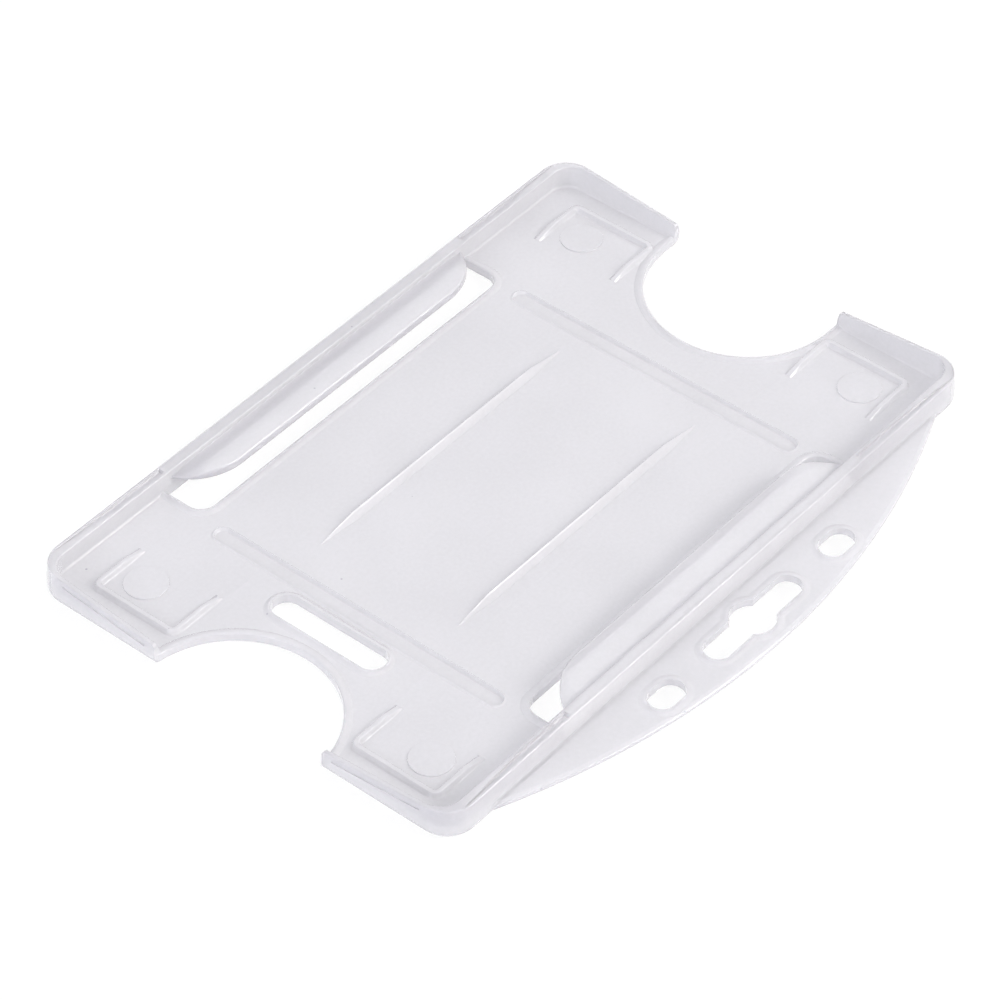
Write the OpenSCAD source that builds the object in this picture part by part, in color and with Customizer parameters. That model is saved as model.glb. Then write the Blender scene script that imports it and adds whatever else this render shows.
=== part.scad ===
// Rigid open-faced card holder: a shallow clear tray with two retaining lips over
// the card, a thumb notch at each end, a strap slot and a slotted hanging tab.
// +X runs along the card, the hanging tab is on -Y, the open face looks up (+Z).
// The origin is on the underside, at the middle of the tray.

/* [Card] */
// Length of the card
card_l = 85.6; // [80:0.1:105]
// Width of the card
card_w = 54; // [50:0.1:70]
// Thickness of the card
card_t = 0.76; // [0.5:0.01:1]
// Room past each end of the card
card_end_gap = 0.6; // [0.2:0.05:1.5]
// Room past each long edge of the card
card_side_gap = 0.8; // [0.2:0.05:1.5]
// Room between the card and the lips
card_lip_gap = 0.08; // [0.02:0.01:0.5]

/* [Tray] */
// Thickness of the floor
floor_t = 0.9; // [0.7:0.05:1.6]
// Height of the walls above the floor
wall_h = 3; // [2.9:0.05:4.5]
// Thickness of the side walls at the floor
side_wall_t = 1.15; // [1.05:0.05:1.8]
// How far the inner face of a side wall leans in at its top
side_wall_lean = 0.43; // [0.1:0.01:0.8]
// Thickness of the end walls at the floor
end_wall_t = 1; // [0.95:0.05:1.8]
// Thickness of the end walls at their top
end_wall_top_t = 0.45; // [0.3:0.05:0.8]
// Height of an end wall where the thumb notch cuts it
end_wall_low_h = 1.75; // [1:0.05:2.8]
// Outer corner radius of the tray
corner_r = 3.6; // [2.5:0.1:6]
// Rounding under the outer edge
edge_r = 0.9; // [0.4:0.05:0.9]

/* [Side wall groove] */
// Width of the groove along the top of a side wall
groove_w = 0.75; // [0.3:0.05:0.8]
// Depth of the groove
groove_depth = 0.2; // [0.1:0.05:0.5]
// Thin rim left outside the groove
groove_rim = 0.3; // [0.25:0.05:0.4]

/* [Lips] */
// Length of a lip where it leaves the wall
lip_l = 48.8; // [36:0.1:60]
// How far a lip reaches in from the base of the wall
lip_reach = 4.65; // [3:0.05:6]
// Length of the curved stretch at each end of a lip's inner edge
lip_curve_l = 6.9; // [5:0.1:10]
// Height of a lip at its inner edge, above the floor
lip_top_h = 2.75; // [2.6:0.05:2.9]
// Height of a lip beside the wall, above the floor
lip_valley_h = 2.3; // [2.1:0.05:2.5]
// Width of the flat strip along the inner edge of a lip
lip_flat_w = 1.35; // [0.8:0.05:2]
// Length of the slope at each end of a lip
lip_slope_l = 3.6; // [2:0.1:6]
// Thickness left at the tip of that slope
lip_tip_t = 0.2; // [0.15:0.05:0.4]

/* [Windows under the lips] */
// Length of a window
window_l = 50.3; // [40:0.1:62]
// Width of a window, from the base of the wall
window_w = 5.6; // [4.5:0.1:7]
// Inner corner radius of a window
window_r = 2; // [1:0.1:3]

/* [Thumb notches] */
// Radius of both thumb notches
notch_r = 11.6; // [8:0.1:13]
// Depth of the notch beside the strap slot
notch_strap_depth = 10.8; // [8:0.1:12]
// Depth of the notch at the other end
notch_open_depth = 14.25; // [11:0.05:18]

/* [Strap slot] */
// Distance from the tray's middle to the slot
strap_slot_x = 29.9; // [28:0.1:31]
// Length of the slot
strap_slot_l = 15.3; // [12:0.1:18]
// Width of the slot
strap_slot_w = 3.5; // [2.5:0.1:4]

/* [Ribs and grooves on the floor] */
// Distance from the middle line to the centre of a glide rib
glide_rib_y = 9.55; // [6:0.05:14]
// Width of a glide rib
glide_rib_w = 1.1; // [0.6:0.05:2]
// Height of a glide rib
glide_rib_h = 0.81; // [0.5:0.01:0.9]
// Length of a glide rib along its foot
glide_rib_l = 40.6; // [30:0.1:44]
// Length of the ramp at each end of a glide rib
glide_ramp_l = 5.3; // [2:0.1:8]
// Width of the cross grooves
cross_groove_w = 1.85; // [1:0.05:2.2]
// Length of the cross grooves
cross_groove_l = 39.6; // [30:0.1:41]
// Depth of the cross grooves
cross_groove_depth = 0.35; // [0.1:0.05:0.5]
// Place of the cross groove at the strap end
cross_groove_strap_x = 26; // [25.6:0.1:26.2]
// Place of the cross groove at the open end
cross_groove_open_x = 24.3; // [24:0.1:26]

/* [Corner ribs and pads] */
// Width of a corner rib
corner_rib_w = 1.2; // [0.8:0.05:1.6]
// Height of a corner rib
corner_rib_h = 0.6; // [0.3:0.05:0.8]
// Length of a corner rib across the tray
corner_rib_span = 12.25; // [10:0.05:13]
// Length of its arms along the tray
corner_rib_arm = 7.85; // [5:0.05:9]
// Length of the ramp at the end of each arm
corner_rib_ramp = 2.1; // [1:0.1:4]
// Gap between the end wall and a corner rib
corner_rib_end_gap = 2.35; // [2:0.05:4]
// Gap between the side wall and a corner rib
corner_rib_side_gap = 3.65; // [3:0.05:4.5]
// Outer corner radius of a corner rib
corner_rib_r = 2; // [0.5:0.1:2.5]
// Radius of a corner pad
pad_r = 2.5; // [1.5:0.1:3]
// Height of a corner pad
pad_h = 0.18; // [0.1:0.01:0.3]
// Distance from the end wall to a corner pad's centre
pad_end_gap = 6.7; // [6:0.1:8]
// Distance from the side wall to a corner pad's centre
pad_side_gap = 8; // [7.5:0.1:9]

/* [Raised edges] */
// Width of the raised edge round the windows and notches
bead_w = 1; // [0.5:0.05:1.2]
// Height of that raised edge
bead_h = 0.25; // [0.1:0.05:0.4]
// Width of the collar round the strap slot
collar_w = 0.8; // [0.5:0.05:1.2]
// Height of that collar
collar_h = 0.35; // [0.1:0.05:0.5]

/* [Hanging tab] */
// How far the tab stands out from the side wall
tab_reach = 8.05; // [7:0.05:12]
// Half the width of the tab at the side wall
tab_half_w = 38.5; // [30:0.1:40]
// Thickness of the tab
tab_t = 0.75; // [0.6:0.05:1.5]
// Height of the tab's underside above the tray's underside
tab_z = 0.8; // [0.4:0.05:1.2]
// Distance from the side wall to the line of the holes
tab_hole_out = 4.05; // [3.5:0.05:5]
// Width of the holes and of the slot
tab_hole_w = 3.2; // [2:0.1:3.6]
// Length of the two end holes
tab_hole_l = 4.7; // [3.7:0.1:6]
// Distance between the two end holes
tab_hole_spacing = 29.4; // [26:0.1:34]
// Length of the middle slot
tab_slot_l = 15.3; // [12:0.1:17]
// Radius of the round bulge in the middle slot
tab_bulge_r = 2.57; // [1.9:0.01:2.8]
// Width of the raised border round the holes
tab_rim_w = 0.7; // [0.3:0.05:0.9]
// Height of that border
tab_rim_h = 0.15; // [0.05:0.05:0.3]

/* [Hidden] */
$fn = 96;

pocket_l = card_l + 2 * card_end_gap;
pocket_w = card_w + 2 * card_side_gap;
outer_l = pocket_l + 2 * end_wall_t;
outer_w = pocket_w + 2 * side_wall_t;
wall_top = floor_t + wall_h;
corner_x = outer_l / 2 - corner_r;
corner_y = outer_w / 2 - corner_r;
corner_inner_r = corner_r - side_wall_t;
wall_outer_lean = 0.15;
lip_under_h = glide_rib_h + card_t + card_lip_gap;
lip_y = pocket_w / 2 - lip_reach;
lip_end_r = (pow(lip_curve_l, 2) + pow(lip_reach, 2)) / (2 * lip_reach);
lip_straight_x = lip_l / 2 - lip_curve_l;
window_y = pocket_w / 2 - window_w;
field_x = window_l / 2 - window_r;
notch_strap_x = outer_l / 2 - notch_strap_depth + notch_r;
notch_open_x = outer_l / 2 - notch_open_depth + notch_r;
groove_end_x = lip_l / 2 + 0.5;
tab_y = outer_w / 2;
tab_arc_r = (pow(tab_half_w, 2) + pow(tab_reach, 2)) / (2 * tab_reach);
tab_top = tab_z + tab_t;
hole_y = -(tab_y + tab_hole_out);
far = 200;
cut = 1;

clear_plastic = [0.9, 0.91, 0.94, 0.6];
clear_edge = [0.8, 0.82, 0.88, 0.75];

// A flat slot outline with round ends, along X
module slot_shape(length, width) {
    square([length - width, width], center = true);
    for (side = [-1, 1])
        translate([side * (length - width) / 2, 0])
            circle(d = width);
}

// A rectangle with round corners, centred
module round_rect(length, width, r) {
    square([length - 2 * r, width], center = true);
    square([length, width - 2 * r], center = true);
    for (sx = [-1, 1], sy = [-1, 1])
        translate([sx * (length / 2 - r), sy * (width / 2 - r)])
            circle(r = r);
}

// Places a child made for the +X +Y quarter: sx -1 is the strap end, sy -1 the tab side
module place(sx, sy) {
    mirror([sx < 0 ? 1 : 0, 0, 0])
        mirror([0, sy < 0 ? 1 : 0, 0])
            children();
}

// The inside of the walls at floor level
module pocket_outline() {
    square([pocket_l, 2 * corner_y], center = true);
    square([2 * corner_x, pocket_w], center = true);
    for (sx = [-1, 1], sy = [-1, 1])
        translate([sx * corner_x, sy * corner_y])
            circle(r = corner_inner_r);
}

// One thumb notch seen from above, opening towards +X
module notch_outline(centre_x, r) {
    translate([centre_x, 0])
        circle(r = r);
    translate([centre_x, -r])
        square([far, 2 * r]);
}

// One window under a lip, on the +Y side, grown by a margin on the floor side
module window_outline(margin) {
    grown_r = window_r + margin;
    half_l = window_l / 2 + margin;
    low_y = window_y - margin;
    translate([-half_l, low_y + grown_r])
        square([2 * half_l, pocket_w / 2 - low_y - grown_r]);
    translate([-half_l + grown_r, low_y])
        square([2 * (half_l - grown_r), grown_r + cut / 2]);
    for (side = [-1, 1])
        translate([side * (half_l - grown_r), low_y + grown_r])
            circle(r = grown_r);
}

// Everything that is open through the floor of one end, opening towards +X
module end_openings(notch_x) {
    notch_outline(notch_x, notch_r);
    for (sy = [0, 1])
        mirror([0, sy])
            window_outline(0);
}

// The floor past the windows, towards +X
module floor_end(notch_x, groove_x) {
    difference() {
        linear_extrude(floor_t)
            difference() {
                intersection() {
                    pocket_outline();
                    translate([field_x, -far / 2])
                        square([far, far]);
                }
                end_openings(notch_x);
            }
        translate([groove_x, 0, floor_t - cross_groove_depth])
            linear_extrude(cross_groove_depth + cut)
                rotate(90)
                    slot_shape(cross_groove_l, cross_groove_w);
    }
}

// Wall sections, with the wall's outer face at zero and its inside at negative places
module wall_foot(thickness) {
    intersection() {
        translate([-edge_r, edge_r])
            circle(r = edge_r);
        translate([-edge_r, 0])
            square(edge_r);
    }
    translate([-thickness, 0])
        square([thickness - edge_r, floor_t + cut / 2]);
    translate([-edge_r, edge_r])
        square([edge_r, floor_t + cut / 2 - edge_r]);
}

module side_wall_section() {
    wall_foot(side_wall_t);
    polygon([
        [-side_wall_t, floor_t],
        [0, floor_t],
        [0, floor_t + wall_h / 3],
        [-wall_outer_lean, wall_top],
        [-side_wall_t - side_wall_lean, wall_top]
    ]);
}

module end_wall_section() {
    wall_foot(end_wall_t);
    polygon([
        [-end_wall_t, floor_t],
        [0, floor_t],
        [0, floor_t + wall_h / 4],
        [-wall_outer_lean, wall_top],
        [-wall_outer_lean - end_wall_top_t, wall_top]
    ]);
}

// A long side wall on the +Y side, with a groove along its top past each end of the lip
module side_wall() {
    groove_y = outer_w / 2 - groove_rim - wall_outer_lean - groove_w / 2;
    groove_l = corner_x - groove_end_x;
    difference() {
        translate([-corner_x, outer_w / 2, 0])
            rotate([90, 0, 90])
                linear_extrude(2 * corner_x)
                    side_wall_section();
        for (side = [-1, 1])
            translate([side * (groove_end_x + groove_l / 2), groove_y, wall_top - groove_depth])
                linear_extrude(groove_depth + cut)
                    slot_shape(groove_l, groove_w);
    }
}

// The wall round the +X +Y corner
module corner_wall() {
    translate([corner_x, corner_y, 0])
        rotate_extrude(angle = 90)
            translate([corner_r, 0])
                side_wall_section();
}

// The end wall from the +X +Y corner to the notch, falling towards the notch
module end_wall(notch_x) {
    difference() {
        translate([outer_l / 2, corner_y, 0])
            rotate([90, 0, 0])
                linear_extrude(corner_y)
                    end_wall_section();
        translate([outer_l / 2 - end_wall_t - cut, 0, 0])
            rotate([90, 0, 90])
                linear_extrude(end_wall_t + 2 * cut)
                    polygon([
                        [corner_y, wall_top],
                        [notch_r, floor_t + end_wall_low_h],
                        [-cut, floor_t + end_wall_low_h],
                        [-cut, wall_top + cut],
                        [corner_y, wall_top + cut]
                    ]);
        translate([0, 0, -cut])
            linear_extrude(far)
                notch_outline(notch_x, notch_r);
    }
}

// A lip on the +Y side: one section along X, sloped at its ends and rounded in plan
module lip() {
    under = floor_t + lip_under_h;
    inner_lean = side_wall_lean / wall_h;
    wall_at_under = pocket_w / 2 - inner_lean * lip_under_h;
    wall_at_valley = pocket_w / 2 - inner_lean * lip_valley_h;
    intersection() {
        translate([-lip_l / 2, 0, 0])
            rotate([90, 0, 90])
                linear_extrude(lip_l)
                    polygon([
                        [lip_y, under],
                        [wall_at_under, under],
                        [wall_at_valley, floor_t + lip_valley_h],
                        [lip_y + lip_flat_w, floor_t + lip_top_h],
                        [lip_y, floor_t + lip_top_h]
                    ]);
        translate([0, far / 2, 0])
            rotate([90, 0, 0])
                linear_extrude(far)
                    polygon([
                        [-lip_l / 2, under],
                        [lip_l / 2, under],
                        [lip_l / 2, under + lip_tip_t],
                        [lip_l / 2 - lip_slope_l, floor_t + lip_top_h],
                        [-lip_l / 2 + lip_slope_l, floor_t + lip_top_h],
                        [-lip_l / 2, under + lip_tip_t]
                    ]);
        linear_extrude(far) {
            translate([-lip_straight_x, lip_y])
                square([2 * lip_straight_x, lip_reach]);
            for (side = [-1, 1])
                translate([side * lip_straight_x, lip_y + lip_end_r])
                    circle(r = lip_end_r);
        }
    }
}

// A U-shaped rib in the +X +Y corner, its arms towards the middle
module corner_rib() {
    base_x = pocket_l / 2 - corner_rib_end_gap;
    outer_y = pocket_w / 2 - corner_rib_side_gap;
    centre_y = outer_y - corner_rib_span / 2;
    inner_l = corner_rib_arm - corner_rib_w;
    translate([base_x, centre_y, floor_t])
        intersection() {
            linear_extrude(corner_rib_h)
                difference() {
                    translate([-corner_rib_arm, 0])
                        round_rect(2 * corner_rib_arm, corner_rib_span, corner_rib_r);
                    translate([-far - corner_rib_arm, -far / 2])
                        square([far, far]);
                    translate([-corner_rib_arm - cut, -corner_rib_span / 2 + corner_rib_w])
                        square([inner_l + cut, corner_rib_span - 2 * corner_rib_w]);
                }
            translate([0, far / 2, 0])
                rotate([90, 0, 0])
                    linear_extrude(far)
                        polygon([
                            [-corner_rib_arm, 0],
                            [0, 0],
                            [0, corner_rib_h],
                            [corner_rib_ramp - corner_rib_arm, corner_rib_h]
                        ]);
        }
}

// A low round pad inside the corner rib
module corner_pad() {
    translate([pocket_l / 2 - pad_end_gap, pocket_w / 2 - pad_side_gap, floor_t])
        cylinder(r = pad_r, h = pad_h);
}

// A glide rib on the +Y side, ramped at both ends so the card rides up it
module glide_rib() {
    foot = glide_rib_l / 2;
    crest = foot - glide_ramp_l;
    translate([0, glide_rib_y + glide_rib_w / 2, floor_t])
        rotate([90, 0, 0])
            linear_extrude(glide_rib_w)
                polygon([
                    [-foot, 0],
                    [foot, 0],
                    [crest, glide_rib_h],
                    [-crest, glide_rib_h]
                ]);
}

// The raised edge on the floor round the window on the +Y side
module window_edge() {
    difference() {
        translate([0, 0, floor_t])
            linear_extrude(bead_h)
                difference() {
                    intersection() {
                        window_outline(bead_w);
                        pocket_outline();
                    }
                    window_outline(0);
                }
        side_wall();
    }
}

// The raised edge on the floor round a thumb notch that opens towards +X. The arms of
// the corner ribs stand in it where they come that near.
module notch_edge(notch_x) {
    difference() {
        translate([0, 0, floor_t])
            linear_extrude(bead_h)
                difference() {
                    intersection() {
                        notch_outline(notch_x, notch_r + bead_w);
                        pocket_outline();
                    }
                    notch_outline(notch_x, notch_r);
                }
        for (sy = [-1, 1])
            place(1, sy)
                corner_rib();
    }
}

module strap_slot_outline(margin) {
    translate([-strap_slot_x, 0])
        rotate(90)
            slot_shape(strap_slot_l + 2 * margin, strap_slot_w + 2 * margin);
}

module end_hole_outline(side, margin) {
    translate([side * tab_hole_spacing / 2, hole_y])
        slot_shape(tab_hole_l + 2 * margin, tab_hole_w + 2 * margin);
}

module middle_slot_outline(margin) {
    translate([0, hole_y]) {
        slot_shape(tab_slot_l + 2 * margin, tab_hole_w + 2 * margin);
        circle(r = tab_bulge_r + margin);
    }
}

// A raised border on the tab; the first child is the outside, the second the hole
module tab_border() {
    color(clear_edge)
        translate([0, 0, tab_top])
            linear_extrude(tab_rim_h)
                difference() {
                    children(0);
                    children(1);
                }
}

module floor_middle() {
    color(clear_plastic)
        translate([-field_x, -window_y, 0])
            cube([2 * field_x, 2 * window_y, floor_t]);
}

module floor_strap_end() {
    color(clear_plastic)
        difference() {
            place(-1, 1)
                floor_end(notch_strap_x, cross_groove_strap_x);
            translate([0, 0, -cut])
                linear_extrude(far)
                    strap_slot_outline(0);
        }
}

module floor_open_end() {
    color(clear_plastic)
        floor_end(notch_open_x, cross_groove_open_x);
}

module tab_side_wall() { color(clear_edge) place(1, -1) side_wall(); }
module far_side_wall() { color(clear_edge) side_wall(); }

module corner_strap_tab() { color(clear_edge) place(-1, -1) corner_wall(); }
module corner_strap_far() { color(clear_edge) place(-1, 1) corner_wall(); }
module corner_open_tab() { color(clear_edge) place(1, -1) corner_wall(); }
module corner_open_far() { color(clear_edge) corner_wall(); }

module end_wall_strap_tab() { color(clear_edge) place(-1, -1) end_wall(notch_strap_x); }
module end_wall_strap_far() { color(clear_edge) place(-1, 1) end_wall(notch_strap_x); }
module end_wall_open_tab() { color(clear_edge) place(1, -1) end_wall(notch_open_x); }
module end_wall_open_far() { color(clear_edge) end_wall(notch_open_x); }

module tab_side_lip() { color(clear_plastic) place(1, -1) lip(); }
module far_side_lip() { color(clear_plastic) lip(); }

module corner_rib_strap_tab() { color(clear_edge) place(-1, -1) corner_rib(); }
module corner_rib_strap_far() { color(clear_edge) place(-1, 1) corner_rib(); }
module corner_rib_open_tab() { color(clear_edge) place(1, -1) corner_rib(); }
module corner_rib_open_far() { color(clear_edge) corner_rib(); }

module pad_strap_tab() { color(clear_edge) place(-1, -1) corner_pad(); }
module pad_strap_far() { color(clear_edge) place(-1, 1) corner_pad(); }
module pad_open_tab() { color(clear_edge) place(1, -1) corner_pad(); }
module pad_open_far() { color(clear_edge) corner_pad(); }

module glide_rib_tab_side() { color(clear_edge) place(1, -1) glide_rib(); }
module glide_rib_far_side() { color(clear_edge) glide_rib(); }

module window_edge_tab_side() { color(clear_edge) place(1, -1) window_edge(); }
module window_edge_far_side() { color(clear_edge) window_edge(); }

module notch_edge_strap_end() { color(clear_edge) place(-1, 1) notch_edge(notch_strap_x); }
module notch_edge_open_end() { color(clear_edge) notch_edge(notch_open_x); }

module strap_slot_collar() {
    color(clear_edge)
        translate([0, 0, floor_t])
            linear_extrude(collar_h)
                difference() {
                    strap_slot_outline(collar_w);
                    strap_slot_outline(0);
                }
}

module hanging_tab() {
    color(clear_plastic)
        difference() {
            translate([0, 0, tab_z])
                linear_extrude(tab_t)
                    difference() {
                        intersection() {
                            translate([0, tab_arc_r - tab_y - tab_reach])
                                circle(r = tab_arc_r, $fn = 360);
                            translate([-tab_half_w, -far - tab_y + edge_r])
                                square([2 * tab_half_w, far]);
                        }
                        end_hole_outline(-1, 0);
                        end_hole_outline(1, 0);
                        middle_slot_outline(0);
                    }
            place(1, -1)
                side_wall();
        }
}

module tab_hole_border_strap_end() {
    tab_border() {
        end_hole_outline(-1, tab_rim_w);
        end_hole_outline(-1, 0);
    }
}

module tab_hole_border_open_end() {
    tab_border() {
        end_hole_outline(1, tab_rim_w);
        end_hole_outline(1, 0);
    }
}

module tab_slot_border() {
    tab_border() {
        middle_slot_outline(tab_rim_w);
        middle_slot_outline(0);
    }
}

floor_middle();
floor_strap_end();
floor_open_end();
tab_side_wall();
far_side_wall();
corner_strap_tab();
corner_strap_far();
corner_open_tab();
corner_open_far();
end_wall_strap_tab();
end_wall_strap_far();
end_wall_open_tab();
end_wall_open_far();
tab_side_lip();
far_side_lip();
corner_rib_strap_tab();
corner_rib_strap_far();
corner_rib_open_tab();
corner_rib_open_far();
pad_strap_tab();
pad_strap_far();
pad_open_tab();
pad_open_far();
glide_rib_tab_side();
glide_rib_far_side();
window_edge_tab_side();
window_edge_far_side();
notch_edge_strap_end();
notch_edge_open_end();
strap_slot_collar();
hanging_tab();
tab_hole_border_strap_end();
tab_hole_border_open_end();
tab_slot_border();
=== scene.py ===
import math

import bmesh
import bpy
from mathutils import Matrix, Vector

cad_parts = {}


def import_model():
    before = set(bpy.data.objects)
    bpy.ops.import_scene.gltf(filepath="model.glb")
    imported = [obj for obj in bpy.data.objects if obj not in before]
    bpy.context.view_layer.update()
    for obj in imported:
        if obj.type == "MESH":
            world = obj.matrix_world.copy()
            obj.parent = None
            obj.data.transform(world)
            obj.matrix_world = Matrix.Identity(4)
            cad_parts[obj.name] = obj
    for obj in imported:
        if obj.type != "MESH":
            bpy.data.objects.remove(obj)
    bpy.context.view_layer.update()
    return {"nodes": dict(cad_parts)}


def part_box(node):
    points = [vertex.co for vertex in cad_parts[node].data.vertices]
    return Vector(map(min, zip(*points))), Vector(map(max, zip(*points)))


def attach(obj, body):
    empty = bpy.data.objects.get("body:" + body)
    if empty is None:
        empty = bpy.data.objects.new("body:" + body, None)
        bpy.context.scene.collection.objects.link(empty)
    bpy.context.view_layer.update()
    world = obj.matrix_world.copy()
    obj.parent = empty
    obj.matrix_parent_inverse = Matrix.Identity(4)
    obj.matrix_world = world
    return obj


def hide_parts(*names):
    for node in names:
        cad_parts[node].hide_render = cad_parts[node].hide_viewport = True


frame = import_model()
mm = 0.001
same = 1e-4  # mm, places nearer than this are one place
tiny = 1e-3  # mm, places nearer than this belong to one level or end
slack = 1e-2  # mm, room for a shape to stay whole beside its neighbour
shortest = 2e-3  # mm, edges of a cutting shape shorter than this are closed up
print("frame loaded:", len(frame["nodes"]), "sections")


def boxMm(node):  # a section's lowest and highest corners, in millimetres
    low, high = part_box(node)
    return low / mm, high / mm


def hexToLinear(code):
    channels = [int(code[i:i + 2], 16) / 255 for i in (1, 3, 5)]
    return tuple(c / 12.92 if c <= 0.04045 else ((c + 0.055) / 1.055) ** 2.4 for c in channels) + (1.0,)


camera = {
    "azimuth": -50.747,  # degrees, zero looks along +Y
    "elevation": 43.716,
    "roll": 0.55,
    "distance": 506.2,  # mm from the point it looks at
    "lens": 168.76,
    "target": (-2.73, -0.74, 0.9),
    "near": 0.01,  # metres, the nearest and farthest it sees
    "far": 20,
}


def placeCamera(spec):
    azimuth, elevation, roll = (math.radians(spec[k]) for k in ("azimuth", "elevation", "roll"))
    level = math.cos(elevation)
    back = Vector((math.sin(azimuth) * level, -math.cos(azimuth) * level, math.sin(elevation)))
    right = Vector((math.cos(azimuth), math.sin(azimuth), 0))
    up = back.cross(right)
    rolledRight = right * math.cos(roll) + up * math.sin(roll)
    rolledUp = up * math.cos(roll) - right * math.sin(roll)
    data = bpy.data.cameras.new("camera")
    data.lens = spec["lens"]
    data.clip_start = spec["near"]
    data.clip_end = spec["far"]
    item = bpy.data.objects.new("camera", data)
    bpy.context.scene.collection.objects.link(item)
    turn = Matrix((rolledRight, rolledUp, back)).transposed().to_4x4()
    place = (Vector(spec["target"]) + back * spec["distance"]) * mm
    item.matrix_world = Matrix.Translation(place) @ turn
    bpy.context.scene.camera = item


placeCamera(camera)
print("camera placed")


def vertsOf(parts):
    return [p for p in parts if isinstance(p, bmesh.types.BMVert)]


def edgesOf(parts):
    return [p for p in parts if isinstance(p, bmesh.types.BMEdge)]


def facesOf(parts):
    return [p for p in parts if isinstance(p, bmesh.types.BMFace)]


def cutPlane(bm, place, normal, clearOuter=False):  # a line of edges round the shape, where a plane meets it
    every = list(bm.verts) + list(bm.edges) + list(bm.faces)
    return bmesh.ops.bisect_plane(bm, geom=every, plane_co=place, plane_no=normal, clear_outer=clearOuter,
                                  dist=same)["geom_cut"]


def bevelEdges(bm, edges, radius, steps):
    bmesh.ops.bevel(bm, geom=edges, offset=radius, offset_type="OFFSET", segments=steps, profile=0.5,
                    affect="EDGES", material=-1, clamp_overlap=False)


def uprightEdges(bm):
    return [e for e in bm.edges if abs(e.verts[0].co.z - e.verts[1].co.z) > same]


def levelEdges(bm, z):
    return [e for e in bm.edges if all(abs(v.co.z - z) < same for v in e.verts)]


def lengthwiseEdges(bm, least):  # those that cover more than this along X
    return [e for e in bm.edges if abs(e.verts[0].co.x - e.verts[1].co.x) > least]


def block(low, high, corner=0, cornerSteps=8):  # a box, its upright edges rounded
    low, high = Vector(low), Vector(high)
    size = high - low
    bm = bmesh.new()
    place = Matrix.Translation((low + high) / 2) @ Matrix.Diagonal(size.to_4d())
    bmesh.ops.create_cube(bm, size=1, matrix=place)
    if corner:
        bevelEdges(bm, uprightEdges(bm), min(corner, min(size.x, size.y) / 2 - same), cornerSteps)
        bmesh.ops.remove_doubles(bm, verts=bm.verts, dist=shortest)
    return bm


def stepFace(bm, steps, down=False):  # insets the top or bottom face again and again, each time moving it out
    pick = min if down else max
    face = pick(bm.faces, key=lambda f: f.calc_center_median().z)
    for inset, rise in steps:
        bmesh.ops.inset_region(bm, faces=[face], use_boundary=True, use_even_offset=True,
                               thickness=inset, depth=rise)
    return bm


def disc(centre, radius, low, high, steps):
    bm = bmesh.new()
    place = Matrix.Translation((centre[0], centre[1], (low + high) / 2))
    bmesh.ops.create_cone(bm, cap_ends=True, segments=steps, radius1=radius, radius2=radius, depth=high - low,
                          matrix=place)
    return bm


def pushFace(bm, face, shift):  # extrudes a face by this shift and gives the new face
    grown = bmesh.ops.extrude_face_region(bm, geom=[face])["geom"]
    bmesh.ops.translate(bm, vec=shift, verts=vertsOf(grown))
    return facesOf(grown)[0]


def sweep(profile, start, heading, path):
    # profile: (side, up) pairs, side being to the right of the heading
    # path: ("go", length) or ("turn", radius, degrees, steps)
    bm = bmesh.new()
    direction = Vector((math.cos(heading), math.sin(heading), 0))
    right = Vector((direction.y, -direction.x, 0))
    place = Vector(start)
    verts = [bm.verts.new(place + right * s + Vector((0, 0, u))) for s, u in profile]
    first = [bm.edges.new((verts[i], verts[(i + 1) % len(verts)])) for i in range(len(verts))]
    ring = list(first)
    for step in path:
        if step[0] == "go":
            moved = bmesh.ops.extrude_edge_only(bm, edges=ring)["geom"]
            shift = direction * step[1]
            bmesh.ops.translate(bm, vec=shift, verts=vertsOf(moved))
            place = place + shift
        else:
            radius, angle, steps = step[1], math.radians(step[2]), step[3]
            side = Vector((-direction.y, direction.x, 0)) * (1 if angle > 0 else -1)
            centre = place + side * radius
            moved = bmesh.ops.spin(bm, geom=ring, cent=centre, axis=(0, 0, 1), angle=angle, steps=steps,
                                   use_merge=False)["geom_last"]
            turn = Matrix.Rotation(angle, 3, "Z")
            place = centre + turn @ (place - centre)
            direction = turn @ direction
        ring = edgesOf(moved)
    bmesh.ops.contextual_create(bm, geom=first)
    bmesh.ops.contextual_create(bm, geom=ring)
    bmesh.ops.recalc_face_normals(bm, faces=bm.faces)
    return bm


def asObject(bm, name):
    mesh = bpy.data.meshes.new(name)
    bm.to_mesh(mesh)
    bm.free()
    item = bpy.data.objects.new(name, mesh)
    bpy.context.scene.collection.objects.link(item)
    return item


def combine(base, bm, operation):
    tool = asObject(bm, "tool")
    change = base.modifiers.new("combine", "BOOLEAN")
    change.operation = operation
    change.solver = "MANIFOLD"
    change.object = tool
    graph = bpy.context.evaluated_depsgraph_get()
    mesh = bpy.data.meshes.new_from_object(base.evaluated_get(graph))
    base.modifiers.clear()
    old = base.data
    base.data = mesh
    bpy.data.meshes.remove(old)
    toolMesh = tool.data
    bpy.data.objects.remove(tool)
    bpy.data.meshes.remove(toolMesh)
    if not mesh.polygons:
        raise RuntimeError("a shape vanished in " + operation)


def mirrored(bm, alongX, alongY):  # the same shape in another quarter of the tray
    if alongX or alongY:
        factor = Matrix.Diagonal((-1 if alongX else 1, -1 if alongY else 1, 1, 1))
        bmesh.ops.transform(bm, matrix=factor, verts=bm.verts)
        if alongX != alongY:
            bmesh.ops.reverse_faces(bm, faces=bm.faces)
    return bm


quarters = [(alongX, alongY) for alongX in (False, True) for alongY in (False, True)]

wallTop = boxMm("far_side_wall")[1]
floorTop = boxMm("floor_middle")[1].z
rim = wallTop.z
halfX = boxMm("end_wall_open_far")[1].x
halfY = wallTop.y
through = 1.0  # how far a cutting shape stands out of what it cuts

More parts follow.
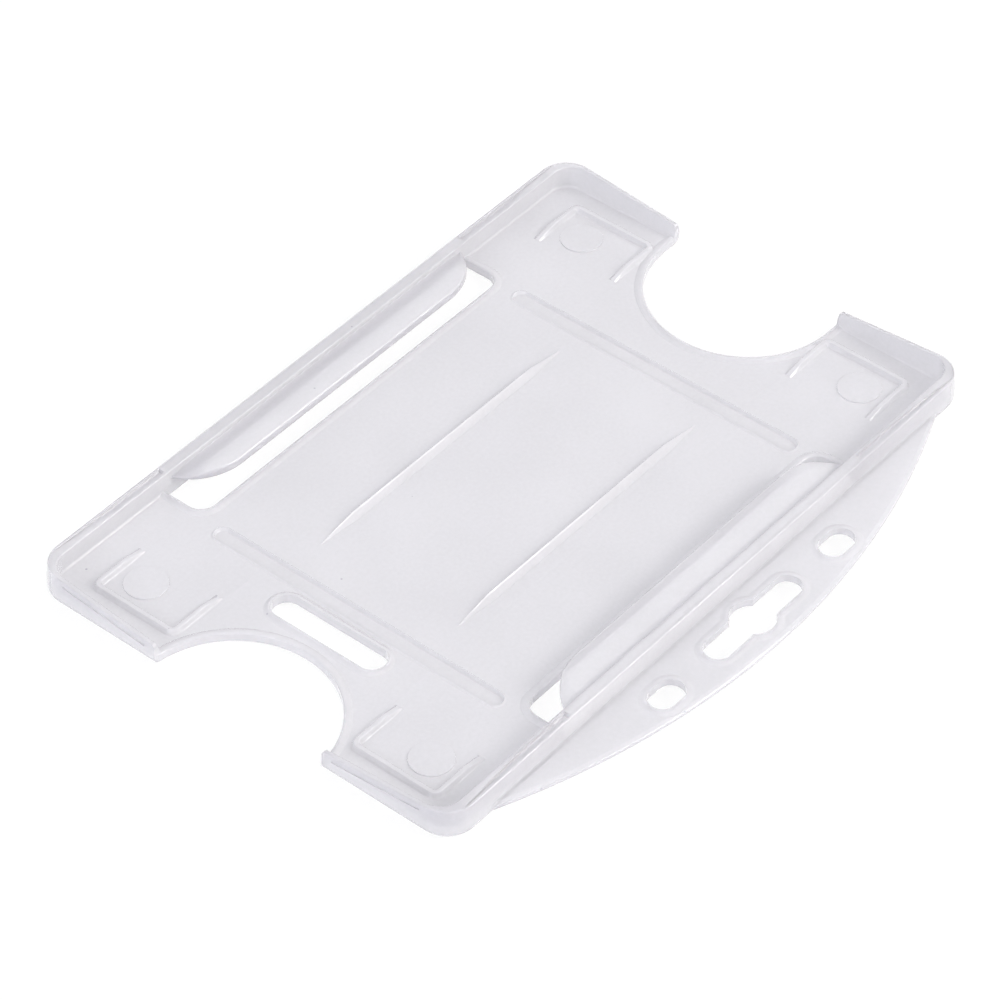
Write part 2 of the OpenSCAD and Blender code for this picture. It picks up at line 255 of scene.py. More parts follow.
tray = {
    "corner": 3.6,  # outer corner radius
    "cornerSteps": 14,
    "bottomRound": 0.9,
    "bottomSteps": 6,
    "topRound": 0.16,
    "topSteps": 3,
    "sideTop": 1.43,  # thickness of a side wall at its top
    "endTop": 0.5,
    "sideBase": 1.15,
    "endBase": 1.0,
    "lean": 0.15,  # how far the outer face leans in above the step
    "leanFrom": 1.9,
    "innerCorner": 2.6,
    "innerSteps": 10,
    "footRound": 0.3,
    "footSteps": 4,
    "mouthRound": 0.14,
    "mouthAngles": (30, 60, 90),
    "slopeFrom": 25.35,  # the end walls fall from here
    "slopeTo": 11.6,  # to here, beside the notch
    "slopeZone": 2,  # how far in from the ends the fall reaches
    "lowHeight": 1.75,  # height left there above the floor
    "tipRound": ((0.0, 0.42), (0.1, 0.2), (0.25, 0.06), (0.45, 0.0)),  # gap to the notch, height taken off
    "tipFall": 0.01,  # share of its height that a rounded tip keeps, so that its levels stay apart
}
innerX = halfX - tray["endBase"]
innerY = halfY - tray["sideBase"]


def makeTray():
    bm = block((-halfX, -halfY, 0), (halfX, halfY, rim), tray["corner"], tray["cornerSteps"])
    bevelEdges(bm, levelEdges(bm, 0), tray["bottomRound"], tray["bottomSteps"])
    cutPlane(bm, (0, 0, tray["leanFrom"]), (0, 0, 1))
    top = [v for v in bm.verts if v.co.z > rim - tiny]
    shrink = Vector(((halfX - tray["lean"]) / halfX, (halfY - tray["lean"]) / halfY, 1))
    bmesh.ops.scale(bm, vec=shrink, verts=top)
    bevelEdges(bm, levelEdges(bm, rim), tray["topRound"], tray["topSteps"])
    return asObject(bm, "holder_moulding")


def pocketTool():
    mouthRound = tray["mouthRound"]
    mouthLevel = rim - mouthRound
    bm = block((-innerX, -innerY, floorTop), (innerX, innerY, mouthLevel), tray["innerCorner"],
               tray["innerSteps"])
    topX = halfX - tray["lean"] - tray["endTop"]
    topY = halfY - tray["lean"] - tray["sideTop"]
    top = [v for v in bm.verts if v.co.z > mouthLevel - tiny]
    bmesh.ops.scale(bm, vec=(topX / innerX, topY / innerY, 1), verts=top)
    bevelEdges(bm, levelEdges(bm, floorTop), tray["footRound"], tray["footSteps"])
    face = max(bm.faces, key=lambda f: f.normal.z)
    turns = [math.radians(angle) for angle in tray["mouthAngles"]]
    path = [(mouthRound * (1 - math.cos(turn)), mouthRound * math.sin(turn)) for turn in turns]
    path.append((path[-1][0], through))  # after the quarter round of the mouth, straight up
    wide, level = 0.0, 0.0
    for newWide, newLevel in path:
        grown = bmesh.ops.extrude_face_region(bm, geom=[face])["geom"]
        bmesh.ops.delete(bm, geom=[face], context="FACES_ONLY")
        face = facesOf(grown)[0]
        spread = ((topX + newWide) / (topX + wide), (topY + newWide) / (topY + wide), 1)
        bmesh.ops.scale(bm, vec=spread, verts=vertsOf(grown))
        bmesh.ops.translate(bm, vec=(0, 0, newLevel - level), verts=vertsOf(grown))
        wide, level = newWide, newLevel
    return bm


def slopeEnds(item):  # the end walls fall towards the notches, with their rounded tops and tips
    bm = bmesh.new()
    bm.from_mesh(item.data)
    run = tray["slopeFrom"] - tray["slopeTo"]
    for distance in [gap for gap, drop in tray["tipRound"]] + [run]:
        for side in (-1, 1):
            cutPlane(bm, (0, side * (tray["slopeTo"] + distance), 0), (0, 1, 0))
    fall = 1 - tray["lowHeight"] / (rim - floorTop)
    foot = floorTop + tray["footRound"] + slack
    for v in bm.verts:
        if abs(v.co.x) > halfX - tray["slopeZone"] and v.co.z > foot:
            share = (tray["slopeFrom"] - abs(v.co.y)) / run
            above = (v.co.z - floorTop) * (1 - fall * min(1, max(0, share)))
            for gap, drop in tray["tipRound"]:
                tipTop = tray["lowHeight"] - drop
                if abs(abs(v.co.y) - tray["slopeTo"] - gap) < tiny and above > tipTop:
                    above = tipTop + tray["tipFall"] * above
            v.co.z = floorTop + above
    bm.to_mesh(item.data)
    bm.free()


holder = makeTray()
combine(holder, pocketTool(), "DIFFERENCE")
slopeEnds(holder)
print("tray hollowed:", len(holder.data.polygons))


lipLow, lipHigh = boxMm("far_side_lip")
lip = {
    "halfLength": 24.4,
    "straight": 17.5,  # half the straight stretch of the inner edge
    "crest": 20.4,  # where the end slopes start
    "underRound": 0.1,
    "nose": 0.3,  # rounding of the inner edge
    "noseSteps": 4,
    "flat": 1.35,  # width of the level strip along the inner edge
    "fallSteps": 8,
    "valley": 0.65,  # thickness beside the wall
    "valleyWidth": 0.45,
    "cove": ((0.2, 0.03), (0.06, 0.14), (0.0, 0.34)),  # distance from the wall, height above the valley
    "root": 0.4,  # how far it runs into the wall
    "tip": 0.16,  # what is left of the thickness at the ends
    "tipReach": 0.02,  # and of its reach from the wall
    "steps": 96,
}


def lipProfile(reach, thick):  # distance from the inner edge and height above the underside
    nose, flat, valley, root = (lip[k] for k in ("nose", "flat", "valley", "root"))
    points = [(lip["underRound"], 0), (0, lip["underRound"])]
    for i in range(lip["noseSteps"] + 1):
        angle = math.radians(90 * i / lip["noseSteps"])
        points.append((nose * (1 - math.cos(angle)), thick - nose + nose * math.sin(angle)))
    slope = reach - flat - lip["valleyWidth"]
    for i in range(lip["fallSteps"] + 1):  # an S-shaped fall from the level strip to the valley
        share = i / lip["fallSteps"]
        drop = 0.5 - 0.5 * math.cos(math.pi * share)
        points.append((flat + slope * share, thick - (thick - valley) * drop))
    points += [(reach - gap, valley + rise) for gap, rise in lip["cove"]]
    points += [(reach + root, points[-1][1]), (reach + root, 0)]
    return points


def makeLip():
    under = lipLow.z
    reach = innerY - lipLow.y
    start = -lip["halfLength"]
    bm = bmesh.new()
    verts = [bm.verts.new((start, lipLow.y + s, under + u)) for s, u in lipProfile(reach, lipHigh.z - under)]
    pushFace(bm, bm.faces.new(verts), (2 * lip["halfLength"], 0, 0))
    bmesh.ops.recalc_face_normals(bm, faces=bm.faces)
    bmesh.ops.subdivide_edges(bm, edges=lengthwiseEdges(bm, lip["halfLength"]), cuts=lip["steps"] - 1,
                               use_grid_fill=True)
    endRadius = ((lip["halfLength"] - lip["straight"]) ** 2 + reach ** 2) / (2 * reach)
    for v in bm.verts:
        past = max(0.0, abs(v.co.x) - lip["straight"])
        edge = endRadius - math.sqrt(max(0.0, endRadius ** 2 - past ** 2))
        share = max(lip["tipReach"], (reach - edge) / reach)
        if v.co.y < innerY:
            v.co.y = innerY - (innerY - v.co.y) * share
        slope = min(1.0, max(0.0, (abs(v.co.x) - lip["crest"]) / (lip["halfLength"] - lip["crest"])))
        ease = slope * slope * (3 - 2 * slope)
        v.co.z = under + (v.co.z - under) * (1 - ease * (1 - lip["tip"]))
    return bm


combine(holder, makeLip(), "UNION")
combine(holder, mirrored(makeLip(), False, True), "UNION")
print("lips joined")


endStripe = {
    "from": 12.9,
    "to": 24.6,
    "below": 0.8,  # from the top of the wall down to its middle
    "height": 0.34,
    "depth": 0.13,
    "leanShare": 0.6,  # how much of the wall's lean is reached at its height
    "endSteps": 6,
}


def endStripeTool():  # a shallow groove along the outside of an end wall, level with its sloping top
    slope = (rim - floorTop - tray["lowHeight"]) / (tray["slopeFrom"] - tray["slopeTo"])
    middle = rim - endStripe["below"] - slope * tray["slopeFrom"]
    outer = halfX - tray["lean"] * endStripe["leanShare"]
    halfHeight = endStripe["height"] / 2
    bm = block((outer - endStripe["depth"], endStripe["from"], middle - halfHeight),
               (outer + through, endStripe["to"], middle + halfHeight))
    bevelEdges(bm, lengthwiseEdges(bm, endStripe["depth"]), halfHeight - slack, endStripe["endSteps"])
    shear = Matrix.Identity(4)
    shear[2][1] = slope
    bmesh.ops.transform(bm, matrix=shear, verts=bm.verts)
    return bm


for alongY in (False, True):  # only the walls at the strap end have it
    combine(holder, mirrored(endStripeTool(), True, alongY), "DIFFERENCE")
print("end walls striped")


window = {"halfLength": 25.15, "width": 5.6, "corner": 2.0, "cornerSteps": 8, "above": 0.6}
notch = {"radius": 11.6, "strapX": -45.2, "openX": 41.75, "steps": 160}
strapSlot = {
    "x": -29.9,
    "length": 15.3,
    "width": 3.5,
    "cornerSteps": 12,
    "collar": 0.8,  # width of the raised edge round it
    "collarCornerSteps": 14,
    "collarSteps": ((0.12, 0.12), (0.2, 0.4), (0.18, 0.36), (0.14, 0.12)),  # inset, and share of the rise
    "rise": 0.35,
    "root": 0.4,  # how far the collar reaches into the floor
}
bead = {  # the raised edge of windows and notches
    "profile": ((-0.02, -0.4), (-0.02, 0.12), (0.05, 0.2), (0.18, 0.25), (0.4, 0.24), (0.7, 0.12),
                (0.95, 0.02), (1.1, -0.1), (1.1, -0.4)),  # distance from the opening, height above the floor
    "inWall": 0.2,  # how far a window's bead starts inside the wall
    "strapAngle": 83,  # degrees that the bead of the strap end's notch covers on each side
    "strapSteps": 72,
    "openEnd": 0.5,  # how far from the tray's end the bead of the open end's notch stops
    "openSteps": 80,
}


def windowTool():
    bm = block((-window["halfLength"], innerY - window["width"], -through),
               (window["halfLength"], innerY + 2 * window["corner"], floorTop + window["above"]),
               window["corner"], window["cornerSteps"])
    opened = cutPlane(bm, (0, innerY, 0), (0, 1, 0), clearOuter=True)
    bmesh.ops.contextual_create(bm, geom=edgesOf(opened))
    bmesh.ops.recalc_face_normals(bm, faces=bm.faces)
    return bm


def notchTools():
    radius = notch["radius"]
    yield disc((notch["strapX"], 0), radius, -through, rim + through, notch["steps"])
    yield disc((notch["openX"], 0), radius, -through, rim + through, notch["steps"])
    yield block((notch["openX"], -radius, -through), (halfX + through, radius, rim + through))


def slotBlock(margin, low, high, cornerSteps):
    halfW, halfL = (strapSlot[k] / 2 + margin for k in ("width", "length"))
    x = strapSlot["x"]
    return block((x - halfW, -halfL, low), (x + halfW, halfL, high), halfW, cornerSteps)


def slotTool():
    return slotBlock(0, -through, floorTop + through, strapSlot["cornerSteps"])


def slotCollar():
    low = floorTop - strapSlot["root"]
    body = slotBlock(strapSlot["collar"], low, floorTop, strapSlot["collarCornerSteps"])
    return stepFace(body, [(inset, strapSlot["rise"] * share) for inset, share in strapSlot["collarSteps"]])


def windowBead():
    start = (-window["halfLength"], innerY + bead["inWall"], floorTop)
    side = ("go", window["width"] - window["corner"] + bead["inWall"])
    bend = ("turn", window["corner"], 90, window["cornerSteps"])
    front = ("go", 2 * (window["halfLength"] - window["corner"]))
    return sweep(bead["profile"], start, -math.pi / 2, [side, bend, front, bend, side])


def strapNotchBead():
    start = math.radians(bead["strapAngle"])
    radius = notch["radius"]
    place = (notch["strapX"] + radius * math.cos(start), radius * math.sin(start), floorTop)
    profile = [(-s, u) for s, u in bead["profile"]]
    return sweep(profile, place, start - math.pi / 2,
                 [("turn", radius, -2 * bead["strapAngle"], bead["strapSteps"])])


def openNotchBead():
    start = halfX - bead["openEnd"]
    side = ("go", start - notch["openX"])
    bend = ("turn", notch["radius"], 180, bead["openSteps"])
    return sweep(bead["profile"], (start, notch["radius"], floorTop), math.pi, [side, bend, side])


combine(holder, slotCollar(), "UNION")
for tool in (windowTool(), mirrored(windowTool(), False, True), slotTool(), *notchTools()):
    combine(holder, tool, "DIFFERENCE")
for edging in (windowBead(), mirrored(windowBead(), False, True), strapNotchBead(), openNotchBead()):
    combine(holder, edging, "UNION")
print("openings cut:", len(holder.data.polygons))


ribLow, ribHigh = boxMm("corner_rib_open_far")
cornerRibs = {
    "width": 1.2,
    "outerCorner": 1.3,
    "cornerSteps": 8,
    "flank": ((0, 0), (0.096, 0.08), (0.16, 0.22), (0.32, 0.9), (0.42, 1)),  # mm inwards, share of height
    "root": 0.3,  # how far it reaches into the floor
    "ramp": 2.3,  # length over which an arm rises
    "rampStart": 0.05,  # share of the height at the arm's tip
}


def cornerRib():
    tall = ribHigh.z - floorTop
    flank = [(0, -cornerRibs["root"])] + [(inset, tall * share) for inset, share in cornerRibs["flank"]]
    profile = flank + [(cornerRibs["width"] - s, u) for s, u in reversed(flank)]
    corner = cornerRibs["outerCorner"]
    arm = ("go", ribHigh.x - ribLow.x - corner)
    bend = ("turn", corner, -90, cornerRibs["cornerSteps"])
    back = ("go", ribHigh.y - ribLow.y - 2 * corner)
    bm = sweep(profile, (ribLow.x, ribHigh.y, floorTop), 0.0, [arm, bend, back, bend, arm])
    rampEnd = ribLow.x + cornerRibs["ramp"]
    cutPlane(bm, (rampEnd, 0, 0), (1, 0, 0))
    for v in bm.verts:
        if v.co.x < rampEnd - tiny and v.co.z > floorTop:
            risen = max(cornerRibs["rampStart"], (v.co.x - ribLow.x) / cornerRibs["ramp"])
            v.co.z = floorTop + (v.co.z - floorTop) * risen
    return bm


padLow, padHigh = boxMm("pad_open_far")
pads = {"root": 0.3, "edgeRound": 0.1, "edgeSteps": 2, "steps": 64}


def pad():
    radius = (padHigh.x - padLow.x) / 2
    bm = disc((padLow + padHigh) / 2, radius, floorTop - pads["root"], padHigh.z, pads["steps"])
    bevelEdges(bm, levelEdges(bm, padHigh.z), pads["edgeRound"], pads["edgeSteps"])
    return bm


glideRibs = {
    "ramp": 5.3,  # length of each pointed end
    "root": 0.3,
    "footIn": 0.03,  # the edge of the broad flank, in from the foot and up from the floor
    "footUp": 0.1,
    "crest": ((0.0, 0.1), (0.08, 0.02), (0.17, 0.0), (0.26, 0.07)),  # mm past the middle, mm below the top
    "pointWidth": 0.06,  # shares of the width and height left at the points
    "pointHeight": 0.03,
}


def glideRib(node):  # a wedge: broad flank towards the tab, steep one away from it, ends run out to points
    low, high = boxMm(node)
    foot, crest = high.x, high.x - glideRibs["ramp"]
    height = high.z - floorTop
    middle, half = (low.y + high.y) / 2, (high.y - low.y) / 2
    root = -glideRibs["root"]
    section = [(-half, root), (-half, 0), (-half + glideRibs["footIn"], glideRibs["footUp"])]
    section += [(past, height - below) for past, below in glideRibs["crest"]]
    section += [(half, 0), (half, root)]
    bm = bmesh.new()
    face = bm.faces.new([bm.verts.new((-foot, middle + s, floorTop + u)) for s, u in section])
    for length in (foot - crest, 2 * crest, foot - crest):
        newFace = pushFace(bm, face, (length, 0, 0))
        if face.verts[0].co.x > -foot + tiny:
            bmesh.ops.delete(bm, geom=[face], context="FACES_ONLY")
        face = newFace
    for v in bm.verts:
        if abs(v.co.x) > crest + tiny:
            v.co.y = middle + (v.co.y - middle) * glideRibs["pointWidth"]
            if v.co.z > floorTop:
                v.co.z = floorTop + (v.co.z - floorTop) * glideRibs["pointHeight"]
    bmesh.ops.recalc_face_normals(bm, faces=bm.faces)
    return bm


crossGrooves = {
    "x": (-26.0, 24.3),
    "width": 1.85,
    "length": 39.6,
    "shift": -0.4,  # its middle, towards the tab
    "cornerSteps": 12,
    "flare": 0.1,  # the soft edge outside that width
    "above": (0.1, 0.5),  # heights over the floor between which its cutting shape starts
    "sides": ((0.06, 0.05), (0.06, 0.12), (0.06, 0.12), (0.06, 0.03)),  # inset and depth of each step down
    "swell": 0.38,  # low swelling of the floor round the groove
    "swellRoot": 0.3,
    "swellSteps": ((0.06, 0.03), (0.11, 0.09), (0.06, 0.02)),
}


def crossPlan(x, margin, low, high):
    halfW, halfL = (crossGrooves[k] / 2 + margin for k in ("width", "length"))
    middle = crossGrooves["shift"]
    return block((x - halfW, middle - halfL, low), (x + halfW, middle + halfL, high), halfW,
                 crossGrooves["cornerSteps"])


def crossSwell(x):
    body = crossPlan(x, crossGrooves["swell"], floorTop - crossGrooves["swellRoot"], floorTop)
    return stepFace(body, crossGrooves["swellSteps"])


def crossGroove(x):
    low, high = (floorTop + height for height in crossGrooves["above"])
    return stepFace(crossPlan(x, crossGrooves["flare"], low, high), crossGrooves["sides"], down=True)


for quarter in quarters:
    combine(holder, mirrored(cornerRib(), *quarter), "UNION")
    combine(holder, mirrored(pad(), *quarter), "UNION")
for node in ("glide_rib_tab_side", "glide_rib_far_side"):
    combine(holder, glideRib(node), "UNION")
for x in crossGrooves["x"]:
    combine(holder, crossSwell(x), "UNION")
    combine(holder, crossGroove(x), "DIFFERENCE")
print("ribs and grooves done:", len(holder.data.polygons))


topGrooves = {
    "from": 24.9,
    "cornerGap": 2.6,
    "ridge": 27.75,
    "rimWidth": 0.3,
    "depth": 0.45,
    "above": 0.5,  # how far its cutting shape stands over the rim
    "endLean": 0.5,  # its inner end leans by this share of the depth
    "taper": 9.0,
    "pointWidth": 0.12,  # share of the width left at its point
    "pointDepth": 0.06,
    "endZone": 0.1,  # points this close to an end belong to it
    "floorRound": 0.12,
    "roundSteps": 3,
}


def topGroove():  # recessed strip in the top of a side wall, running out to a point towards the corner
    x0, x1 = topGrooves["from"], halfX - topGrooves["cornerGap"]
    y0, y1 = topGrooves["ridge"], halfY - tray["lean"] - topGrooves["rimWidth"]
    depth, endZone = topGrooves["depth"], topGrooves["endZone"]
    bm = block((x0, y0, rim - depth), (x1, y1, rim + topGrooves["above"]))
    cutPlane(bm, (x1 - topGrooves["taper"], 0, 0), (1, 0, 0))
    for v in bm.verts:
        if v.co.x > x1 - endZone:
            v.co.y = y1 - (y1 - v.co.y) * topGrooves["pointWidth"]
            v.co.z = max(v.co.z, rim - topGrooves["pointDepth"])
        elif v.co.x < x0 + endZone and v.co.z < rim:
            v.co.x += depth * topGrooves["endLean"]
    lower = [e for e in lengthwiseEdges(bm, depth) if max(v.co.z for v in e.verts) < rim]
    bevelEdges(bm, lower, topGrooves["floorRound"], topGrooves["roundSteps"])
    return bm


for quarter in quarters:
    combine(holder, mirrored(topGroove(), *quarter), "DIFFERENCE")


tabLow, tabHigh = boxMm("hanging_tab")
tab = {
    "halfWidth": 38.5,
    "inside": 1.1,  # how far it runs into the wall
    "arcSteps": 96,
    "rimSteps": ((0.04, 0.04), (0.34, 0.16), (0.08, 0.02)),  # rounded edge, inset and rise of each step
    "underSteps": ((0.1, 0.07), (0.1, 0.03)),
    "holeY": -33.0,
    "holeWidth": 3.2,
    "holeLength": 4.7,
    "holeSteps": 12,
    "spacing": 29.4,
    "slotLength": 15.3,
    "bulge": 2.57,  # radius of the round opening in the middle of the slot
    "border": 0.95,
    "borderCornerSteps": 14,
    "borderRoot": 0.3,
    "borderSteps": ((0.18, 0.04), (0.22, 0.1), (0.22, 0.08), (0.18, 0.01)),
}


def tabPlate():
    halfWidth = tab["halfWidth"]
    reach = -halfY - tabLow.y
    radius = (halfWidth ** 2 + reach ** 2) / (2 * reach)
    angle = 2 * math.asin(halfWidth / radius)
    underDepth, rimHeight = (sum(rise for inset, rise in tab[k]) for k in ("underSteps", "rimSteps"))
    bottom = tabLow.z + underDepth
    bm = bmesh.new()
    first = bm.verts.new((-halfWidth, -halfY, bottom))
    bmesh.ops.spin(bm, geom=[first], cent=(0, tabLow.y + radius, 0), axis=(0, 0, 1), angle=angle,
                   steps=tab["arcSteps"])
    ends = sorted(bm.verts, key=lambda v: v.co.x)
    left, right = ends[0], ends[-1]
    inside = -halfY + tab["inside"]
    leftIn = bm.verts.new((left.co.x, inside, bottom))
    rightIn = bm.verts.new((right.co.x, inside, bottom))
    for pair in ((left, leftIn), (leftIn, rightIn), (rightIn, right)):
        bm.edges.new(pair)
    face = bmesh.ops.contextual_create(bm, geom=list(bm.edges))["faces"][0]
    pushFace(bm, face, (0, 0, tabHigh.z - bottom - rimHeight))
    bmesh.ops.recalc_face_normals(bm, faces=bm.faces)
    stepFace(bm, tab["rimSteps"])
    return stepFace(bm, tab["underSteps"], down=True)


def holeBlock(opening, margin, low, high, cornerSteps):
    x, length, width = opening
    halfL, halfW = length / 2 + margin, width / 2 + margin
    y = tab["holeY"]
    return block((x - halfL, y - halfW, low), (x + halfL, y + halfW, high), halfW, cornerSteps)


def tabHole(opening):
    return holeBlock(opening, 0, tabLow.z - through, tabHigh.z + through, tab["holeSteps"])


def holeBorder(opening):
    low = tabHigh.z - tab["borderRoot"]
    body = holeBlock(opening, tab["border"], low, tabHigh.z, tab["borderCornerSteps"])
    return stepFace(body, tab["borderSteps"])


combine(holder, tabPlate(), "UNION")
endHole = (tab["holeLength"], tab["holeWidth"])
openings = [
    (-tab["spacing"] / 2, *endHole),
    (tab["spacing"] / 2, *endHole),
    (0, tab["slotLength"], tab["holeWidth"]),
    (0, 2 * tab["bulge"], 2 * tab["bulge"]),
]
for opening in openings:
    combine(holder, holeBorder(opening), "UNION")
for opening in openings:
    combine(holder, tabHole(opening), "DIFFERENCE")
print("tab joined:", len(holder.data.polygons))


finish = {"merge": 0.003, "sharpAngle": 38, "faceWeight": 60}  # mm, degrees, weight of the bigger faces


def finishMesh(item):  # merged, soft-shaded across its curves and scaled to metres
    bm = bmesh.new()
    bm.from_mesh(item.data)
    bmesh.ops.remove_doubles(bm, verts=bm.verts, dist=finish["merge"])
    bmesh.ops.dissolve_degenerate(bm, edges=bm.edges, dist=finish["merge"])
    for face in bm.faces:
        face.smooth = True
    for edge in bm.edges:
        edge.smooth = edge.calc_face_angle(math.pi) < math.radians(finish["sharpAngle"])
    bmesh.ops.scale(bm, vec=(mm, mm, mm), verts=bm.verts)
    bm.to_mesh(item.data)
    bm.free()
    normals = item.modifiers.new("flat faces first", "WEIGHTED_NORMAL")
    normals.keep_sharp = True
    normals.weight = finish["faceWeight"]


def addNode(tree, kind, settings=None, links=None):
    node = tree.nodes.new(kind)
    for key, value in (settings or {}).items():
        if isinstance(key, int) or key in node.inputs:
            node.inputs[key].default_value = value
        else:
            setattr(node, key, value)
    for socket, source in (links or {}).items():
        tree.links.new(source, node.inputs[socket])
    return node


plastic = {
    "tint": "#DDDCE0",
    "deeper": "#D8D7DB",
    "tintRange": (0.7, 1.3),  # the patterns' sum at which the deeper tint and the paler one are reached
    "grain": 0.45,  # mm, satin of the mould's skin, drawn coarser than it is so that it shows
    "grainDetail": 2.0,
    "grainRange": (0.3, 0.7),
    "roughness": (0.09, 0.19),  # at the ends of that range
    "grainBump": 0.012,  # mm
    "grainStrength": 0.5,
    "wave": 13.0,  # mm, slow unevenness from shrinking
    "waveDetail": 1.0,
    "waveBump": 0.06,  # mm
    "speckTint": "#B8B8C2",
    "speckGap": 6.0,  # mm between specks of dust
    "speckSize": 0.022,  # share of that gap
    "clear": 0.66,  # the rest is milky
    "ior": 1.15,  # polystyrene is 1.59, but its milkiness hides most of the bending
    "coat": 0.5,
    "coatRoughness": 0.08,
    "coatIor": 1.55,
}


def perMetre(size):  # the scale of a pattern whose features are this many millimetres wide
    return 1 / (size * mm)


def clearPlastic():  # injection-moulded clear polystyrene: see-through, a little milky, glossy on fine grain
    material = bpy.data.materials.new("moulded_clear_polystyrene")
    material.use_nodes = True
    tree = material.node_tree
    tree.nodes.clear()
    place = {"Vector": addNode(tree, "ShaderNodeTexCoord").outputs["Object"]}
    grain = addNode(tree, "ShaderNodeTexNoise", {"Scale": perMetre(plastic["grain"]),
                                                 "Detail": plastic["grainDetail"]}, place).outputs[0]
    wave = addNode(tree, "ShaderNodeTexNoise", {"Scale": perMetre(plastic["wave"]),
                                                "Detail": plastic["waveDetail"]}, place).outputs[0]
    specks = addNode(tree, "ShaderNodeTexVoronoi", {"Scale": perMetre(plastic["speckGap"])}, place)
    both = addNode(tree, "ShaderNodeMath", {"operation": "ADD"}, {0: grain, 1: wave})
    deeperAt, palerAt = plastic["tintRange"]
    depth = addNode(tree, "ShaderNodeMapRange", {"From Min": deeperAt, "From Max": palerAt},
                    {"Value": both.outputs[0]})
    tints = {6: hexToLinear(plastic["deeper"]), 7: hexToLinear(plastic["tint"])}
    milk = addNode(tree, "ShaderNodeMix", {"data_type": "RGBA", **tints}, {0: depth.outputs[0]})
    near = addNode(tree, "ShaderNodeMath", {"operation": "LESS_THAN", 1: plastic["speckSize"]},
                   {0: specks.outputs["Distance"]})
    dusty = addNode(tree, "ShaderNodeMix", {"data_type": "RGBA", 7: hexToLinear(plastic["speckTint"])},
                    {0: near.outputs[0], 6: milk.outputs[2]})
    (low, high), (smoothest, roughest) = plastic["grainRange"], plastic["roughness"]
    gloss = addNode(tree, "ShaderNodeMapRange", {"From Min": low, "From Max": high, "To Min": smoothest,
                                                 "To Max": roughest}, {"Value": grain})
    slow = addNode(tree, "ShaderNodeBump", {"Strength": 1.0, "Distance": plastic["waveBump"] * mm},
                   {"Height": wave})
    fine = addNode(tree, "ShaderNodeBump", {"Strength": plastic["grainStrength"],
                                            "Distance": plastic["grainBump"] * mm},
                   {"Height": grain, "Normal": slow.outputs[0]})
    body = {"IOR": plastic["ior"], "Transmission Weight": plastic["clear"]}
    coat = {"Coat Weight": plastic["coat"], "Coat Roughness": plastic["coatRoughness"],
            "Coat IOR": plastic["coatIor"]}
    patterns = {"Base Color": dusty.outputs[2], "Roughness": gloss.outputs[0], "Normal": fine.outputs[0]}
    shader = addNode(tree, "ShaderNodeBsdfPrincipled", {**body, **coat}, patterns)
    addNode(tree, "ShaderNodeOutputMaterial", links={"Surface": shader.outputs["BSDF"]})
    return material


holder.data.materials.clear()
holder.data.materials.append(clearPlastic())
finishMesh(holder)
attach(holder, "root")
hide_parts(*sorted(frame["nodes"]))
print("holder finished")


studio = {
    "side": "#FFFFFF",  # the sky on the tab's side
    "away": "#ECEDF2",  # and on the strap end's side
    "towardsSide": (0.55, -0.8, 0.2),
    "blend": 0.8,  # how far along that direction each of them is full
    "sky": 0.95,
    "card": "#F4F4F6",
    "cardSize": 3.0,  # metres from its middle to its edges
    "cardDrop": 0.2,  # mm under the holder
    "shadowKept": 0.1,  # how much of the floor's own shading the camera sees
}
lights = {  # places and sizes in metres, powers in watts
    "key": {"place": (0.35, -0.65, 0.5), "size": (0.4, 0.3), "power": 7, "colour": "#FFFDF8"},
    "fill": {"place": (-0.7, 0.0, 0.35), "size": (0.5, 0.3), "power": 3.5, "colour": "#FAFBFF"},
}


def seenDirectly(tree):  # one for what the camera sees, straight or through the plastic or in its gloss
    path = addNode(tree, "ShaderNodeLightPath")
    sharp = addNode(tree, "ShaderNodeMath", {"operation": "MAXIMUM"},
                    {0: path.outputs["Is Transmission Ray"], 1: path.outputs["Is Glossy Ray"]})
    seen = addNode(tree, "ShaderNodeMath", {"operation": "MAXIMUM"},
                   {0: path.outputs["Is Camera Ray"], 1: sharp.outputs[0]})
    return seen.outputs[0]


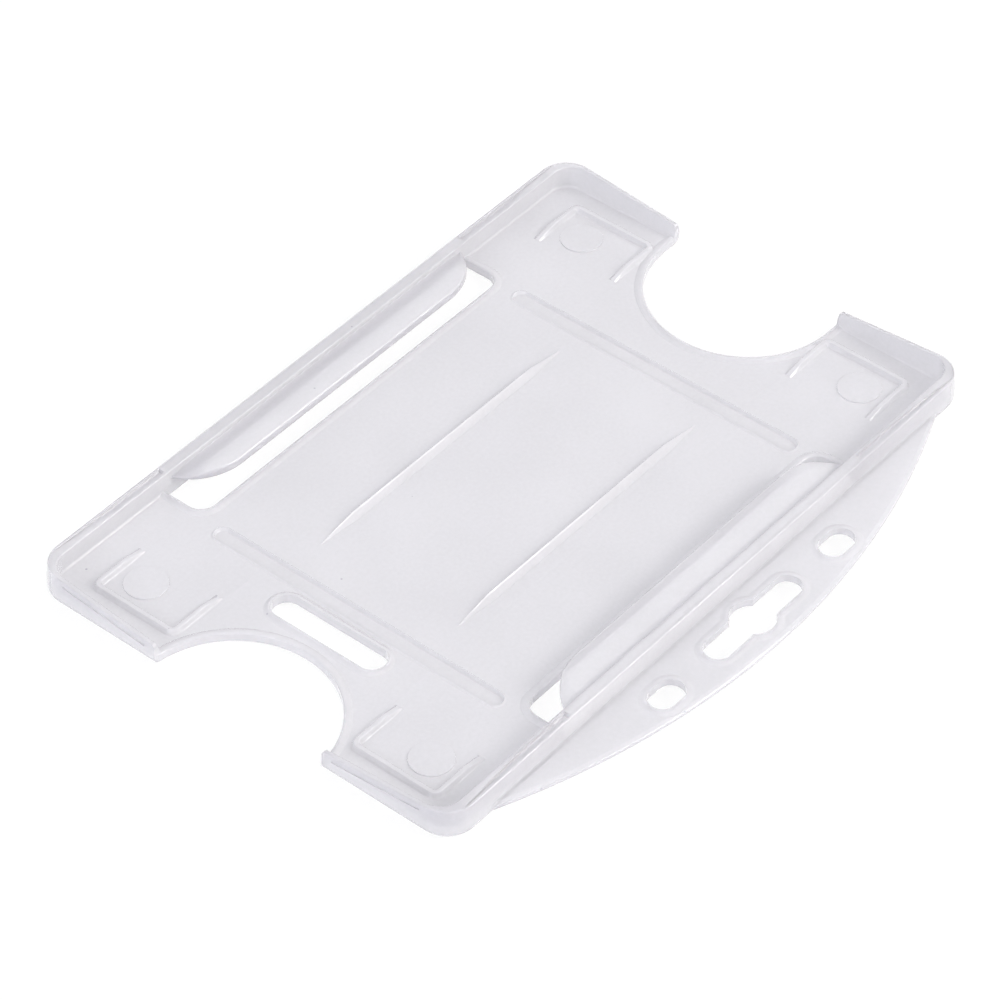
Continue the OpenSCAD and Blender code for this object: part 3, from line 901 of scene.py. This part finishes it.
def paleFloor():
    bm = bmesh.new()
    bmesh.ops.create_grid(bm, x_segments=1, y_segments=1, size=studio["cardSize"])
    bmesh.ops.translate(bm, vec=(0, 0, -studio["cardDrop"] * mm), verts=bm.verts)
    item = asObject(bm, "floor")
    material = bpy.data.materials.new("white_card")
    material.use_nodes = True
    tree = material.node_tree
    tree.nodes.clear()
    diffuse = addNode(tree, "ShaderNodeBsdfDiffuse", {"Color": hexToLinear(studio["card"])})
    white = addNode(tree, "ShaderNodeEmission", {"Color": (1, 1, 1, 1), "Strength": 1.0})
    amount = addNode(tree, "ShaderNodeMath", {"operation": "MULTIPLY", 1: 1 - studio["shadowKept"]},
                     {0: seenDirectly(tree)})
    mixed = addNode(tree, "ShaderNodeMixShader", {},
                    {0: amount.outputs[0], 1: diffuse.outputs[0], 2: white.outputs[0]})
    addNode(tree, "ShaderNodeOutputMaterial", links={"Surface": mixed.outputs[0]})
    item.data.materials.append(material)


def areaLight(name, spec):
    data = bpy.data.lights.new(name, "AREA")
    data.shape = "RECTANGLE"
    data.size, data.size_y = spec["size"]
    data.energy = spec["power"]
    data.color = hexToLinear(spec["colour"])[:3]
    item = bpy.data.objects.new(name, data)
    item.location = spec["place"]
    aim = -Vector(spec["place"])  # at the holder
    item.rotation_euler = aim.to_track_quat("-Z", "Y").to_euler()
    bpy.context.scene.collection.objects.link(item)


def world():
    item = bpy.data.worlds.new("studio")
    bpy.context.scene.world = item
    item.use_nodes = True
    tree = item.node_tree
    tree.nodes.clear()
    where = addNode(tree, "ShaderNodeTexCoord").outputs["Generated"]
    toSide = addNode(tree, "ShaderNodeVectorMath", {"operation": "DOT_PRODUCT", 1: studio["towardsSide"]},
                     {0: where})
    share = addNode(tree, "ShaderNodeMapRange", {"From Min": -studio["blend"], "From Max": studio["blend"]},
                    {"Value": toSide.outputs["Value"]})
    tones = {6: hexToLinear(studio["away"]), 7: hexToLinear(studio["side"])}
    sky = addNode(tree, "ShaderNodeMix", {"data_type": "RGBA", **tones}, {0: share.outputs["Result"]})
    around = addNode(tree, "ShaderNodeBackground", {"Strength": studio["sky"]}, {"Color": sky.outputs[2]})
    white = addNode(tree, "ShaderNodeBackground", {"Color": (1, 1, 1, 1), "Strength": 1.0})
    mixed = addNode(tree, "ShaderNodeMixShader", {},
                    {0: seenDirectly(tree), 1: around.outputs[0], 2: white.outputs[0]})
    addNode(tree, "ShaderNodeOutputWorld", links={"Surface": mixed.outputs[0]})


paleFloor()
world()
for name, spec in lights.items():
    areaLight(name, spec)
bpy.context.scene.view_settings.view_transform = "Standard"
print("studio lit")
